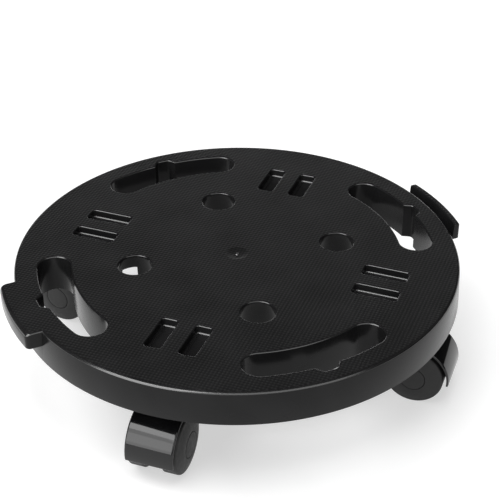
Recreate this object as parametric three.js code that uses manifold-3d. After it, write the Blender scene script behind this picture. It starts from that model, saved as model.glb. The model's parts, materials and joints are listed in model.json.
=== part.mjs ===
// Plant pot caddy: a round moulded deck on four twin-wheel swivel casters.
//
// Units are millimetres and +Z is up. The origin is on the floor under the middle of the deck.
// +X points at the channel tab, -X at the hook tab, and -Y is the front.

import * as THREE from 'three';
import { mergeVertices } from 'three/addons/utils/BufferGeometryUtils.js';
import Module from 'manifold-3d';

const wasm = await Module();
wasm.setup();

// ---- Driving dimensions -------------------------------------------------------------------

// Deck: top plate, rim and ribs
const DECK_TOP = 78.3;
const DECK_RADIUS = 150;
const PLATE = 3;
const RIM_DEPTH = 23.9;
const RIM_FLARE = 0.7; // the rim leans out by this much at its lower edge
const RIM_WALL = 2.7;
const RIM_FILLET = 2.3;
const RIB_WALL = 2;
const RIB_DEPTH = 18;
const HUB_RADIUS = 28.5; // ring of rib round the middle
const BELT_OFFSET = 94; // straight belt ribs, inside the slots
const SIDE_RIB_ANGLE = 24; // ribs beside each slot
const BRACE_ANGLE = 28; // where the braces from a caster socket meet the rim
const CENTRE_POST = 4;
const CENTRE_HOLE = 1.6;
const CENTRE_HOLE_DEPTH = 8;

// Deck: four curved hand slots, one on each axis
const SLOT_INNER = 112;
const SLOT_OUTER = 134.3;
const SLOT_HALF_ANGLE = 17.4; // to the centre of the round end
const SLOT_WALL = 2.6;
const SLOT_DEPTH = 26.6;
const NOTCH_HALF_WIDTH = 8;
const NOTCH_REACH = 139.6; // radius at the notch's outer side
const NOTCH_CORNER = 3;
const NOTCH_CORNER_SPREAD = 2.8; // from the notch's middle to each corner's centre
const NOTCH_SIDE_ANGLE = 58; // where a corner meets the notch's sloping side

// Deck: four drain holes with a flared collar underneath, notched on one side, inside a ring rib
const DRAIN_CENTRE = 69.6;
const DRAIN_ANGLE = -12.8;
const DRAIN_RADIUS = 11.5;
const DRAIN_LAND = 2;
const DRAIN_FLARE = 16.5;
const DRAIN_DEPTH = 21.5;
const DRAIN_WALL = 2;
const DRAIN_RING = 25;
const DRAIN_NOTCH_ANGLE = -79; // from the hole's own radius
const DRAIN_NOTCH_SPREAD = 22; // half angle
const DRAIN_NOTCH_TOP = 11; // depth of the notch's upper edge

// Deck: a pair of blind pockets inside each caster
const POCKET_LENGTH = 30.4;
const POCKET_WIDTH = 11.3;
const POCKET_DEPTH = 6;
const POCKET_CENTRE = 101;
const POCKET_SPREAD = 11.6;
const POCKET_WALL = 2;

// Deck: shallow moulding dimple in the middle
const DIMPLE_RADIUS = 7.5;
const DIMPLE_DEPTH = 0.7;
const GATE_RADIUS = 1.4;

// Deck: the hook tab and the channel tab, which link one caddy to the next
const TAB_RADIUS = 160;
const TAB_HALF_WIDTH = 30.5;
const TAB_DEPTH = 12;
const TAB_ROOT = 148.8; // radius where a tab meets the inside of the rim's wall
const HOOK_LIP = 3;
const HOOK_FILLET = 3.6;
const HOOK_CORNER = 3.2;
const CHANNEL_LIP = 4.1;
const CHANNEL_FLOOR = 2.7;
const CHANNEL_CORNER = 2.4;
const CHANNEL_DRAFT = 0.7;

// Caster sockets and stems
const CASTER_CIRCLE = 120;
const SOCKET_RADIUS = 4;
const SOCKET_BOSS = 7.5;
const SOCKET_ROOF = 5; // solid left between the socket's end and the top face
const STEM_RADIUS = 3.6;
const STEM_GROOVE = 2.9;
const STEM_COLLAR = 6.5;
const STEM_TOP = 72.6;
const STEM_FOOT = 40;
const GRIP_BOTTOM = 62;
const GRIP_TOP = 67;
const GRIP_INNER = 3.15;
const GRIP_OUTER = 3.72;

// Caster housing and hood
const WHEEL_RADIUS = 20;
const AXLE_OFFSET = 10.5; // axle to swivel axis
const HOOD_OUTER = 23.8;
const HOOD_INNER = 22.3;
const HOOD_HALF_WIDTH = 16.2;
const HOOD_START = -8; // degrees above the axle's level, at the hood's lower edge
const HOOD_END = 118;
const WEB_RADIUS = 17.5;
const WEB_END = 150; // degrees, where the web's top leaves the hood
const WEB_HALF_WIDTH = 5.6;
const NECK_RADIUS = 8.5;
const NECK_FOOT = 30;
const NECK_TOP = 51.3;

// Wheels, caps and axle
const AXLE_RADIUS = 2.5;
const AXLE_HALF_LENGTH = 15;
const BORE_RADIUS = 2.6;
const WHEEL_INNER_FACE = 6.4; // distance from the caster's middle plane
const WHEEL_EDGE = 16.9;
const WHEEL_CROWN = 19;
const RECESS_INNER = 5.4; // hollow in the wheel's inner side
const RECESS_OUTER = 17.6;
const RECESS_DEPTH = 6.5;
const WHEEL_SPOKES = 6;
const WHEEL_SPOKE_WALL = 1.6;
const CAP_RADIUS = 8.6;
const CAP_SEAT = 17;

const GAP = 0.3; // clearance between neighbouring pieces

// Casters: the angle of each one on its circle, and how far it is turned from facing outwards
const CASTERS = [
  { name: 'front_right', angle: -45, turn: 1 },
  { name: 'back_right', angle: 45, turn: -3 },
  { name: 'back_left', angle: 135, turn: -7 },
  { name: 'front_left', angle: -135, turn: 1 },
];

// ---- Materials ----------------------------------------------------------------------------

const plastic = (color, roughness) => new THREE.MeshStandardMaterial({ color, roughness, metalness: 0 });
const steel = (color, roughness) => new THREE.MeshStandardMaterial({ color, roughness, metalness: 1 });
const DECK_PLASTIC = plastic(0x1c1c1d, 0.62);
const HOOD_PLASTIC = plastic(0x060607, 0.12);
const WHEEL_PLASTIC = plastic(0x2a2a2c, 0.55);
const CAP_PLASTIC = plastic(0x2e2e30, 0.5);
const ZINC_STEEL = steel(0xb4b4b2, 0.35);

// ---- Geometry helpers ---------------------------------------------------------------------

const rad = THREE.MathUtils.degToRad;

// A closed three.js geometry as a solid that can be joined and cut.
function solid(geometry) {
  const bare = geometry.index ? geometry.clone() : geometry;
  bare.deleteAttribute('normal');
  bare.deleteAttribute('uv');
  const merged = mergeVertices(bare, 1e-4);
  const index = merged.index.array;
  const triangles = [];
  for (let i = 0; i < index.length; i += 3) {
    const [a, b, c] = [index[i], index[i + 1], index[i + 2]];
    if (a !== b && b !== c && c !== a) triangles.push(a, b, c);
  }
  const mesh = new wasm.Mesh({
    numProp: 3,
    vertProperties: new Float32Array(merged.attributes.position.array),
    triVerts: new Uint32Array(triangles),
  });
  return new wasm.Manifold(mesh);
}

// A solid as a flat-shaded three.js geometry.
function shapeOf(body) {
  const mesh = body.getMesh();
  const geometry = new THREE.BufferGeometry();
  geometry.setAttribute('position', new THREE.BufferAttribute(mesh.vertProperties, 3));
  geometry.setIndex(new THREE.BufferAttribute(mesh.triVerts, 1));
  const flat = geometry.toNonIndexed();
  flat.computeVertexNormals();
  return flat;
}

const join = (bodies) => bodies.reduce((sum, body) => sum.add(body));

// A body turned about Z from [radius, height] points, listed anticlockwise in the r-z plane.
function turned(points, segments) {
  const profile = points.map(([r, z]) => new THREE.Vector2(r, z));
  return new THREE.LatheGeometry(profile, segments).rotateX(Math.PI / 2);
}

// The same, for a closed ring whose profile never touches the axis.
const turnedRing = (points, segments) => turned([...points, points[0]], segments);

// An outline in the XY plane, carried from z0 up to z1.
function prism(shape, z0, z1, curveSegments = 5) {
  const options = { depth: z1 - z0, bevelEnabled: false, curveSegments };
  return new THREE.ExtrudeGeometry(shape, options).translate(0, 0, z0);
}

// A quarter-round from one angle to another, as [radius, height] points.
function arcPoints(r, z, radius, from, to, steps) {
  return Array.from({ length: steps + 1 }, (_, i) => {
    const angle = rad(from + ((to - from) * i) / steps);
    return [r + radius * Math.cos(angle), z + radius * Math.sin(angle)];
  });
}

// The same piece repeated on the four axes of the deck.
function onEachAxis(makeGeometry) {
  return [0, 90, 180, 270].map((turn) => solid(makeGeometry().rotateZ(rad(turn))));
}

// ---- Deck ---------------------------------------------------------------------------------

const RIM_BOTTOM = DECK_TOP - RIM_DEPTH;
const PLATE_BOTTOM = DECK_TOP - PLATE;
const RIB_BOTTOM = DECK_TOP - RIB_DEPTH;
const SOCKET_XY = CASTER_CIRCLE / Math.SQRT2;
const BITE = 0.6; // how far a wall or rib reaches into the plate above it

// Top plate and rim in one turned skin, with a rounded top edge.
function deckShell() {
  const flare = DECK_RADIUS + RIM_FLARE;
  return solid(turned([
    [0, PLATE_BOTTOM],
    [DECK_RADIUS - RIM_WALL, PLATE_BOTTOM],
    [flare - RIM_WALL, RIM_BOTTOM],
    [flare, RIM_BOTTOM],
    ...arcPoints(DECK_RADIUS - RIM_FILLET, DECK_TOP - RIM_FILLET, RIM_FILLET, 0, 90, 3),
    [0, DECK_TOP],
  ], 80));
}

// Outline of the hand slot on the +X axis, grown by `wall` on every side.
function slotOutline(wall) {
  const middle = (SLOT_INNER + SLOT_OUTER) / 2;
  const end = (SLOT_OUTER - SLOT_INNER) / 2 + wall;
  const inner = SLOT_INNER - wall;
  const outer = SLOT_OUTER + wall;
  const half = rad(SLOT_HALF_ANGLE);
  const [cx, cy] = [middle * Math.cos(half), middle * Math.sin(half)];
  const mouth = Math.asin((NOTCH_HALF_WIDTH + wall * 0.6) / outer);
  const corner = NOTCH_REACH - NOTCH_CORNER;
  const side = rad(NOTCH_SIDE_ANGLE);
  const shape = new THREE.Shape();
  shape.absarc(0, 0, outer, -half, -mouth, false);
  shape.absarc(corner, -NOTCH_CORNER_SPREAD, NOTCH_CORNER + wall, -side, 0, false);
  shape.absarc(corner, NOTCH_CORNER_SPREAD, NOTCH_CORNER + wall, 0, side, false);
  shape.absarc(0, 0, outer, mouth, half, false);
  shape.absarc(cx, cy, end, half, half + Math.PI, false);
  shape.absarc(0, 0, inner, half, -half, true);
  shape.absarc(cx, -cy, end, Math.PI - half, 2 * Math.PI - half, false);
  return shape;
}

// A straight rib under the plate, between two points in the XY plane.
function rib(x0, y0, x1, y1, bottom = RIB_BOTTOM) {
  const length = Math.hypot(x1 - x0, y1 - y0);
  const height = PLATE_BOTTOM + BITE - bottom;
  return new THREE.BoxGeometry(length, RIB_WALL, height)
    .rotateZ(Math.atan2(y1 - y0, x1 - x0))
    .translate((x0 + x1) / 2, (y0 + y1) / 2, bottom + height / 2);
}

// A rib along a radius of the deck.
function spoke(angle, from, to) {
  const [c, s] = [Math.cos(rad(angle)), Math.sin(rad(angle))];
  return rib(from * c, from * s, to * c, to * s);
}

// The web of ribs for the quarter of the deck around the +X axis.
function quarterRibs() {
  const [hub, belt, sideAngle] = [HUB_RADIUS, BELT_OFFSET, SIDE_RIB_ANGLE];
  const rimReach = DECK_RADIUS - RIM_WALL + 1;
  const beltEnd = belt * Math.tan(rad(sideAngle));
  const braceX = rimReach * Math.cos(rad(BRACE_ANGLE));
  const braceY = rimReach * Math.sin(rad(BRACE_ANGLE));
  const slotFace = SLOT_INNER - SLOT_WALL / 2;
  return [
    () => spoke(0, 2, hub + 15),
    () => spoke(0, belt, slotFace),
    () => spoke(0, NOTCH_REACH + SLOT_WALL / 2, rimReach),
    () => spoke(sideAngle, hub, rimReach),
    () => spoke(-sideAngle, hub, rimReach),
    () => spoke(45, 2, rimReach),
    () => rib(belt, -beltEnd, belt, beltEnd),
    () => rib(belt, beltEnd, SOCKET_XY, SOCKET_XY),
    () => rib(belt, -beltEnd, SOCKET_XY, -SOCKET_XY),
    () => rib(SOCKET_XY, SOCKET_XY, braceX, braceY),
    () => rib(SOCKET_XY, -SOCKET_XY, braceX, -braceY),
  ];
}

// A round rib of the given middle radius, about the deck's axis.
function ringRib(radius, segments) {
  const [inner, outer] = [radius - RIB_WALL / 2, radius + RIB_WALL / 2];
  const top = PLATE_BOTTOM + BITE;
  return turnedRing([[inner, RIB_BOTTOM], [outer, RIB_BOTTOM], [outer, top], [inner, top]], segments);
}

// Moves a piece from the deck's axis to the drain hole beside the +X axis.
function atDrain(geometry) {
  const angle = rad(DRAIN_ANGLE);
  return geometry.translate(DRAIN_CENTRE * Math.cos(angle), DRAIN_CENTRE * Math.sin(angle), 0);
}

// Flared collar of a drain hole: the whole cone, or the funnel that is cut out of it.
function drainCone(wall, below, above) {
  const top = DECK_TOP - DRAIN_LAND;
  const bottom = DECK_TOP - DRAIN_DEPTH;
  const slope = (DRAIN_FLARE - DRAIN_RADIUS) / (top - bottom);
  return atDrain(turned([
    [0, bottom - below],
    [DRAIN_FLARE + wall + slope * below, bottom - below],
    [DRAIN_RADIUS + wall, top],
    [DRAIN_RADIUS + wall, DECK_TOP + above],
    [0, DECK_TOP + above],
  ], 20));
}

// Wedge that is cut out of a drain collar's side.
function drainNotch() {
  const reach = DRAIN_RING - RIB_WALL;
  const [from, to] = [DRAIN_NOTCH_ANGLE - DRAIN_NOTCH_SPREAD, DRAIN_NOTCH_ANGLE + DRAIN_NOTCH_SPREAD];
  const wedge = new THREE.Shape();
  wedge.moveTo(0, 0);
  wedge.absarc(0, 0, reach, rad(from + DRAIN_ANGLE), rad(to + DRAIN_ANGLE), false);
  wedge.lineTo(0, 0);
  return atDrain(prism(wedge, DECK_TOP - DRAIN_DEPTH - 1, DECK_TOP - DRAIN_NOTCH_TOP, 4));
}

// One pocket of the pair beside the 45 degree line, grown by `wall`.
function pocket(side, wall, floor, top) {
  return new THREE.BoxGeometry(POCKET_LENGTH + 2 * wall, POCKET_WIDTH + 2 * wall, top - floor)
    .translate(POCKET_CENTRE, side * POCKET_SPREAD, (top + floor) / 2)
    .rotateZ(rad(45));
}

// An upright cylinder on the Z axis.
const pin = (radius, z0, z1, segments) =>
  turned([[0, z0], [radius, z0], [radius, z1], [0, z1]], segments);

// A post or hole in the middle of the deck, and one at the caster socket on the 45 degree line.
const centrePost = (radius, z0, z1, segments) => solid(pin(radius, z0, z1, segments));
const socketPost = (radius, z0, z1) => pin(radius, z0, z1, 12).translate(SOCKET_XY, SOCKET_XY, 0);

// Plan outline of a tab on the +X side, with rounded outer corners.
function tabPlan(halfWidth, corner) {
  const cy = halfWidth - corner;
  const cx = Math.sqrt((TAB_RADIUS - corner) ** 2 - cy ** 2);
  const turn = Math.atan2(cy, cx);
  const shape = new THREE.Shape();
  shape.moveTo(TAB_ROOT - 12, -halfWidth);
  shape.absarc(cx, -cy, corner, rad(-90), -turn, false);
  shape.absarc(0, 0, TAB_RADIUS + 1, -turn, turn, false);
  shape.absarc(cx, cy, corner, turn, rad(90), false);
  shape.lineTo(TAB_ROOT - 12, halfWidth);
  return shape;
}

// A ring section in the deck's frame, cut down to a tab's plan.
function tabFrom(profile, halfWidth, corner, turn) {
  const ring = solid(turnedRing(profile.map(([r, z]) => [r, DECK_TOP + z]), 160));
  const plan = prism(tabPlan(halfWidth, corner), DECK_TOP - 40, DECK_TOP + 10, 5);
  return ring.intersect(solid(plan.rotateZ(rad(turn))));
}

// Solid tab whose lip points down, before its cavity is cut.
function hookTab() {
  return tabFrom([
    [TAB_ROOT, -TAB_DEPTH],
    [TAB_RADIUS - 0.8, -TAB_DEPTH],
    [TAB_RADIUS, -TAB_DEPTH + 0.8],
    ...arcPoints(TAB_RADIUS - HOOK_FILLET, -HOOK_FILLET, HOOK_FILLET, 0, 90, 4),
    [TAB_ROOT - 2, 0],
    [TAB_ROOT - 2, -PLATE],
    [TAB_ROOT, -PLATE],
  ], TAB_HALF_WIDTH, HOOK_CORNER, 180);
}

function hookCavity() {
  const [inner, outer] = [DECK_RADIUS + 0.5, TAB_RADIUS - HOOK_LIP];
  const floor = -TAB_DEPTH - 1;
  const profile = [[inner, floor], [outer, floor], [outer, -PLATE], [inner, -PLATE]];
  return tabFrom(profile, TAB_HALF_WIDTH - HOOK_LIP, 1, 180);
}

// Tab with an upward lip, open at both ends.
function channelTab() {
  const inner = TAB_RADIUS - CHANNEL_LIP;
  const floor = -TAB_DEPTH + CHANNEL_FLOOR;
  return tabFrom([
    [TAB_ROOT, -TAB_DEPTH],
    [TAB_RADIUS - 0.6, -TAB_DEPTH],
    [TAB_RADIUS, -TAB_DEPTH + 0.6],
    [TAB_RADIUS, -0.9],
    [TAB_RADIUS - 0.9, 0],
    [inner + 0.8, 0],
    [inner, -0.8],
    [inner - CHANNEL_DRAFT, floor],
    [TAB_ROOT, floor],
  ], TAB_HALF_WIDTH, CHANNEL_CORNER, 0);
}

// Shallow dish in the middle of the top face, around a small gate mark.
function dimple() {
  const top = DECK_TOP + 0.5;
  return solid(turnedRing([
    [GATE_RADIUS, DECK_TOP - DIMPLE_DEPTH * 0.6],
    [DIMPLE_RADIUS * 0.4, DECK_TOP - DIMPLE_DEPTH],
    [DIMPLE_RADIUS * 0.75, DECK_TOP - DIMPLE_DEPTH * 0.6],
    [DIMPLE_RADIUS, DECK_TOP],
    [DIMPLE_RADIUS, top],
    [GATE_RADIUS, top],
  ], 16));
}

function deck() {
  const plateTop = PLATE_BOTTOM + BITE;
  const pocketFloor = DECK_TOP - POCKET_DEPTH;
  const slotBottom = DECK_TOP - SLOT_DEPTH;
  const sides = [-1, 1];
  const added = [
    deckShell(),
    hookTab(),
    channelTab(),
    solid(ringRib(HUB_RADIUS, 24)),
    ...onEachAxis(() => atDrain(ringRib(DRAIN_RING, 24))),
    ...onEachAxis(() => prism(slotOutline(SLOT_WALL), slotBottom, plateTop)),
    ...quarterRibs().flatMap(onEachAxis),
    ...onEachAxis(() => drainCone(DRAIN_WALL, 0, -DRAIN_LAND)),
    ...sides.flatMap((side) => onEachAxis(() =>
      pocket(side, POCKET_WALL, pocketFloor - POCKET_WALL, plateTop))),
    ...onEachAxis(() => socketPost(SOCKET_BOSS, RIM_BOTTOM, plateTop)),
    centrePost(CENTRE_POST, RIB_BOTTOM, plateTop, 12),
  ];
  const removed = [
    hookCavity(),
    dimple(),
    ...onEachAxis(() => prism(slotOutline(0), slotBottom - 1, DECK_TOP + 1)),
    ...onEachAxis(() => drainCone(0, 1, 1)),
    ...sides.flatMap((side) => onEachAxis(() => pocket(side, 0, pocketFloor, DECK_TOP + 1))),
    ...onEachAxis(() => socketPost(SOCKET_RADIUS, RIM_BOTTOM - 1, DECK_TOP - SOCKET_ROOF)),
    centrePost(CENTRE_HOLE, RIB_BOTTOM - 1, RIB_BOTTOM + CENTRE_HOLE_DEPTH, 8),
    ...onEachAxis(() => drainNotch()),
  ];
  return shapeOf(join(added).subtract(join(removed)));
}

// ---- Caster pieces, in a frame with the swivel axis on Z and the hood towards +X ------------

// Split grip ring, held in the socket; the stem turns inside it.
function gripRing() {
  return turnedRing([
    [GRIP_INNER, GRIP_BOTTOM],
    [GRIP_OUTER, GRIP_BOTTOM],
    [GRIP_OUTER, GRIP_TOP],
    [GRIP_INNER, GRIP_TOP],
  ], 12);
}

// Steel stem with a collar under the socket and a groove for the grip ring.
function stem() {
  return turned([
    [0, STEM_FOOT],
    [STEM_RADIUS, STEM_FOOT],
    [STEM_RADIUS, NECK_TOP + GAP],
    [STEM_COLLAR, NECK_TOP + GAP],
    [STEM_COLLAR, RIM_BOTTOM - GAP],
    [STEM_RADIUS, RIM_BOTTOM - GAP],
    [STEM_RADIUS, GRIP_BOTTOM - GAP],
    [STEM_GROOVE, GRIP_BOTTOM - GAP],
    [STEM_GROOVE, GRIP_TOP + GAP],
    [STEM_RADIUS, GRIP_TOP + GAP],
    [STEM_RADIUS, STEM_TOP - 1.5],
    [STEM_RADIUS - 1.5, STEM_TOP],
    [0, STEM_TOP],
  ], 12);
}

// A thick slice around the axle, from an outline in the plane of the wheel.
function slice(shape, halfWidth, curveSegments) {
  return prism(shape, -halfWidth, halfWidth, curveSegments)
    .rotateX(Math.PI / 2)
    .translate(AXLE_OFFSET, 0, WHEEL_RADIUS);
}

function hoodOutline() {
  const [start, end] = [rad(HOOD_START), rad(HOOD_END)];
  const shape = new THREE.Shape();
  shape.absarc(0, 0, HOOD_OUTER, start, end, false);
  shape.absarc(0, 0, HOOD_INNER, end, start, true);
  return shape;
}

// Middle web: round below, and out to the hood above.
function webOutline() {
  const [start, end] = [rad(HOOD_START), rad(WEB_END)];
  const shape = new THREE.Shape();
  shape.absarc(0, 0, (HOOD_INNER + HOOD_OUTER) / 2, start, end, false);
  shape.absarc(0, 0, WEB_RADIUS, end, start + 2 * Math.PI, false);
  return shape;
}

const disc = (radius) => new THREE.Shape().absarc(0, 0, radius, 0, 2 * Math.PI, false);

// Housing: hood shell, middle web and the neck that takes the stem, in one moulding.
function housing() {
  const neck = pin(NECK_RADIUS, NECK_FOOT, NECK_TOP, 16);
  const clear = slice(disc(HOOD_INNER), HOOD_HALF_WIDTH, 16);
  const hood = solid(slice(hoodOutline(), HOOD_HALF_WIDTH, 12));
  const web = solid(slice(webOutline(), WEB_HALF_WIDTH, 12));
  const stemBore = pin(STEM_RADIUS + GAP, STEM_FOOT - GAP, NECK_TOP + 1, 12);
  const body = solid(neck).subtract(solid(clear)).add(hood).add(web);
  const axleBore = solid(slice(disc(BORE_RADIUS), 20, 12));
  return shapeOf(body.subtract(solid(stemBore)).subtract(axleBore));
}

// A turned piece laid along the axle. `side` is 1 for the left wheel and -1 for the right one.
function alongAxle(geometry, side) {
  return geometry.rotateX(side * -Math.PI / 2).translate(AXLE_OFFSET, 0, WHEEL_RADIUS);
}

function axle() {
  return alongAxle(pin(AXLE_RADIUS, -AXLE_HALF_LENGTH, AXLE_HALF_LENGTH, 12), 1);
}

// Spokes across the hollow in a wheel's inner side.
function wheelSpokes() {
  const [inner, outer] = [RECESS_INNER - BITE, RECESS_OUTER + BITE];
  const depth = RECESS_DEPTH;
  return Array.from({ length: WHEEL_SPOKES }, (_, i) => {
    const bar = new THREE.BoxGeometry(outer - inner, WHEEL_SPOKE_WALL, depth);
    bar.translate((inner + outer) / 2, 0, WHEEL_INNER_FACE + BITE + depth / 2);
    return solid(bar.rotateZ((i * 2 * Math.PI) / WHEEL_SPOKES));
  });
}

// Wheel with a chamfered tread, a crowned outer face, a seat for its cap and a hollow inner side.
function wheel(side) {
  const hollow = WHEEL_INNER_FACE + RECESS_DEPTH;
  const body = solid(turnedRing([
    [BORE_RADIUS, WHEEL_INNER_FACE],
    [RECESS_INNER, WHEEL_INNER_FACE],
    [RECESS_INNER, hollow],
    [RECESS_OUTER, hollow],
    [RECESS_OUTER, WHEEL_INNER_FACE],
    [WHEEL_RADIUS, WHEEL_INNER_FACE],
    [WHEEL_RADIUS, WHEEL_EDGE - 1.8],
    [WHEEL_RADIUS - 1.4, WHEEL_EDGE],
    [CAP_RADIUS + 0.1, WHEEL_CROWN],
    [CAP_RADIUS + 0.1, CAP_SEAT],
    [BORE_RADIUS, CAP_SEAT],
  ], 24));
  return alongAxle(shapeOf(join([body, ...wheelSpokes()])), side);
}

// Round cap that covers the end of the axle.
function hubCap(side) {
  const edge = CAP_RADIUS - 0.2;
  return alongAxle(turned([
    [0, CAP_SEAT + 0.1],
    [edge, CAP_SEAT + 0.1],
    [edge, WHEEL_CROWN],
    [0, WHEEL_CROWN + 0.25],
  ], 16), side);
}

// ---- Assembly -----------------------------------------------------------------------------

function named(name, geometry, material) {
  const mesh = new THREE.Mesh(geometry, material);
  mesh.name = name;
  return mesh;
}

function caster({ name, angle, turn }) {
  const group = new THREE.Group();
  group.position.set(CASTER_CIRCLE * Math.cos(rad(angle)), CASTER_CIRCLE * Math.sin(rad(angle)), 0);
  group.rotation.z = rad(angle + turn);
  group.add(
    named(`${name}_grip_ring`, gripRing(), ZINC_STEEL),
    named(`${name}_stem`, stem(), ZINC_STEEL),
    named(`${name}_housing`, housing(), HOOD_PLASTIC),
    named(`${name}_axle`, axle(), ZINC_STEEL),
  );
  for (const [hand, side] of [['left', 1], ['right', -1]]) {
    group.add(
      named(`${name}_${hand}_wheel`, wheel(side), WHEEL_PLASTIC),
      named(`${name}_${hand}_hub_cap`, hubCap(side), CAP_PLASTIC),
    );
  }
  return group;
}

const caddy = new THREE.Group();
caddy.name = 'plant_pot_caddy';
caddy.add(named('deck', deck(), DECK_PLASTIC), ...CASTERS.map(caster));

export default caddy;
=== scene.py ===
"""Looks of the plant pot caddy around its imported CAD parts.

Shapes are made in millimetres and scaled to metres when each mesh is built. The frame is the CAD's:
origin on the floor under the middle of the deck, +Z up, -Y the front.
"""

import json
import math

import bmesh
import bpy
from mathutils import Matrix, Vector


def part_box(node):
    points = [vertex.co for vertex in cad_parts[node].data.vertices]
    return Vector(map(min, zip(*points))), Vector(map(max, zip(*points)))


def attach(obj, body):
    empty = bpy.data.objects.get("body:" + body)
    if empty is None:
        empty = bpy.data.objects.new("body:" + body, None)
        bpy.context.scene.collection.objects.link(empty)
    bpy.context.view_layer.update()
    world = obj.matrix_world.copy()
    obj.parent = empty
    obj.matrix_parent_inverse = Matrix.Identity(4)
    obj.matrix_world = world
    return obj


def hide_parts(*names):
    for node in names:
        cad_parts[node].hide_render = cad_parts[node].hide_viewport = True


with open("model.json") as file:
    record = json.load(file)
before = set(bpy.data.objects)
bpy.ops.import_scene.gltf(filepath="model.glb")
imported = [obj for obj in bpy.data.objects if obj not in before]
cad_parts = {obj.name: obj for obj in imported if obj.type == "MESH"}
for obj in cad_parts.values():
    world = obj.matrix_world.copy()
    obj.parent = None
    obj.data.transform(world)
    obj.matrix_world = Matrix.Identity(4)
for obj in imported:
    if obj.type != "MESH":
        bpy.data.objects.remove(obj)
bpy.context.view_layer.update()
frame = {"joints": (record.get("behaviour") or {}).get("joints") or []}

MM = 0.001
scene = bpy.context.scene

# ---- Sizes, in millimetres, as in the CAD source ------------------------------------------------

DECK_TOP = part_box("deck")[1].z / MM
DECK_RADIUS = 150
PLATE = 3
RIM_DEPTH = 23.9
RIM_FLARE = 0.7
RIM_WALL = 2.7
RIM_FILLET = 2.3
RIM_BOTTOM = DECK_TOP - RIM_DEPTH
PLATE_BOTTOM = DECK_TOP - PLATE
ROOT_TOP = PLATE_BOTTOM + 0.6  # ribs and walls end inside the plate
RIB_DEPTH = 18
RIB_BOTTOM = DECK_TOP - RIB_DEPTH
RIB_ROOT, RIB_TIP, RIB_EDGE = 1.15, 0.85, 0.45  # half thickness at root and tip, and the rounding
HUB_RING = 28.5
HUB_POST = 4
HUB_HOLE = 1.6
HUB_HOLE_DEPTH = 8

SLOT_INNER = 112
SLOT_OUTER = 134.3
SLOT_HALF_ANGLE = 17.4
SLOT_WALL = 2.6
SLOT_DEPTH = 26.6
NOTCH_HALF_WIDTH = 8
NOTCH_REACH = 139.6
NOTCH_CORNER = 3
NOTCH_CORNER_SPREAD = 2.8  # from the notch's middle to each corner's centre
NOTCH_SIDE_ANGLE = 58  # where a corner meets the notch's sloping side

DRAIN_CENTRE = 69.6
DRAIN_ANGLE = -12.8
DRAIN_RADIUS = 11.5
DRAIN_LAND = 2
DRAIN_FLARE = 16.5
DRAIN_DEPTH = 21.5
DRAIN_WALL = 2
DRAIN_RING = 25
DRAIN_NOTCH_ANGLE = -79  # from the hole's own radius
DRAIN_NOTCH_SPREAD = 22
DRAIN_NOTCH_TOP = 11

POCKET_LENGTH = 30.4
POCKET_WIDTH = 11.3
POCKET_DEPTH = 6
POCKET_CENTRE = 101
POCKET_SPREAD = 11.6
POCKET_WALL = 2
POCKET_CORNER = 2
POCKET_FILLET = 1.8  # stays below the corner's radius

TAB_RADIUS = 160
TAB_HALF_WIDTH = 30.5
TAB_DEPTH = 12
TAB_ROOT = 148.8
HOOK_LIP = 3
HOOK_FILLET = 3.6
HOOK_END_FILLET = 1.5
HOOK_CORNER = 3.2
CHANNEL_LIP = 4.1
CHANNEL_FLOOR = 2.7
CHANNEL_CORNER = 2.4
CHANNEL_DRAFT = 0.7

DIMPLE_RADIUS = 7.5
DIMPLE_DEPTH = 0.9
GATE_RADIUS = 1.4

CASTER_CIRCLE = 120
SOCKET_RADIUS = 4
SOCKET_BOSS = 7.5
SOCKET_ROOF = 5
SOCKET_XY = CASTER_CIRCLE / math.sqrt(2)

SLOT_EDGE = 1.2  # rounding of the top edge of each opening
DRAIN_EDGE = 0.8
POCKET_EDGE = 0.8
LOWER_EDGE = 0.4  # rounding of edges on the underside
CUT = 1  # how far a cutter reaches past the face it opens

WHEEL_RADIUS = 20
AXLE_OFFSET = 10.5
HOOD_OUTER = 23.8
HOOD_INNER = 22.3
HOOD_HALF_WIDTH = 16.2
HOOD_START = -8
HOOD_END = 118
HOOD_EDGE = 1.3
WEB_RADIUS = 17.5
WEB_HALF_WIDTH = 5.6
NECK_RADIUS = 8.5
NECK_TOP = 51.3
STEM_RADIUS = 3.6
STEM_COLLAR = 6.5
STEM_TOP = 72.6
STEM_FOOT = 40
STEM_GROOVE = 2.9
GRIP_BOTTOM = 62
GRIP_TOP = 67
AXLE_RADIUS = 2.5
AXLE_HALF_LENGTH = 15
BORE_RADIUS = 2.6
WHEEL_INNER_FACE = 6.4
WHEEL_EDGE = 16.9
WHEEL_CROWN = 19
WHEEL_SPOKES = 6
CAP_RADIUS = 8.6
CAP_SEAT = 17
CAP_GAP = 0.1  # between a cap and its seat
GAP = 0.3  # between moving pieces

# ---- Mesh helpers ----------------------------------------------------------------------------


def new_object(name, mesh):
    ob = bpy.data.objects.new(name, mesh)
    scene.collection.objects.link(ob)
    return ob


def mesh_object(name, points, faces):
    """An object from points in millimetres."""
    mesh = bpy.data.meshes.new(name)
    mesh.from_pydata([Vector(p) * MM for p in points], [], faces)
    return new_object(name, mesh)


def loft(name, rings):
    """A closed body through rings of points, each anticlockwise from above, lowest ring first."""
    n = len(rings[0])
    top = (len(rings) - 1) * n
    faces = [tuple(reversed(range(n)))]
    for k in range(len(rings) - 1):
        for i in range(n):
            j = (i + 1) % n
            faces.append((k * n + i, k * n + j, (k + 1) * n + j, (k + 1) * n + i))
    faces.append(tuple(top + i for i in range(n)))
    return mesh_object(name, [p for ring in rings for p in ring], faces)


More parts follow.
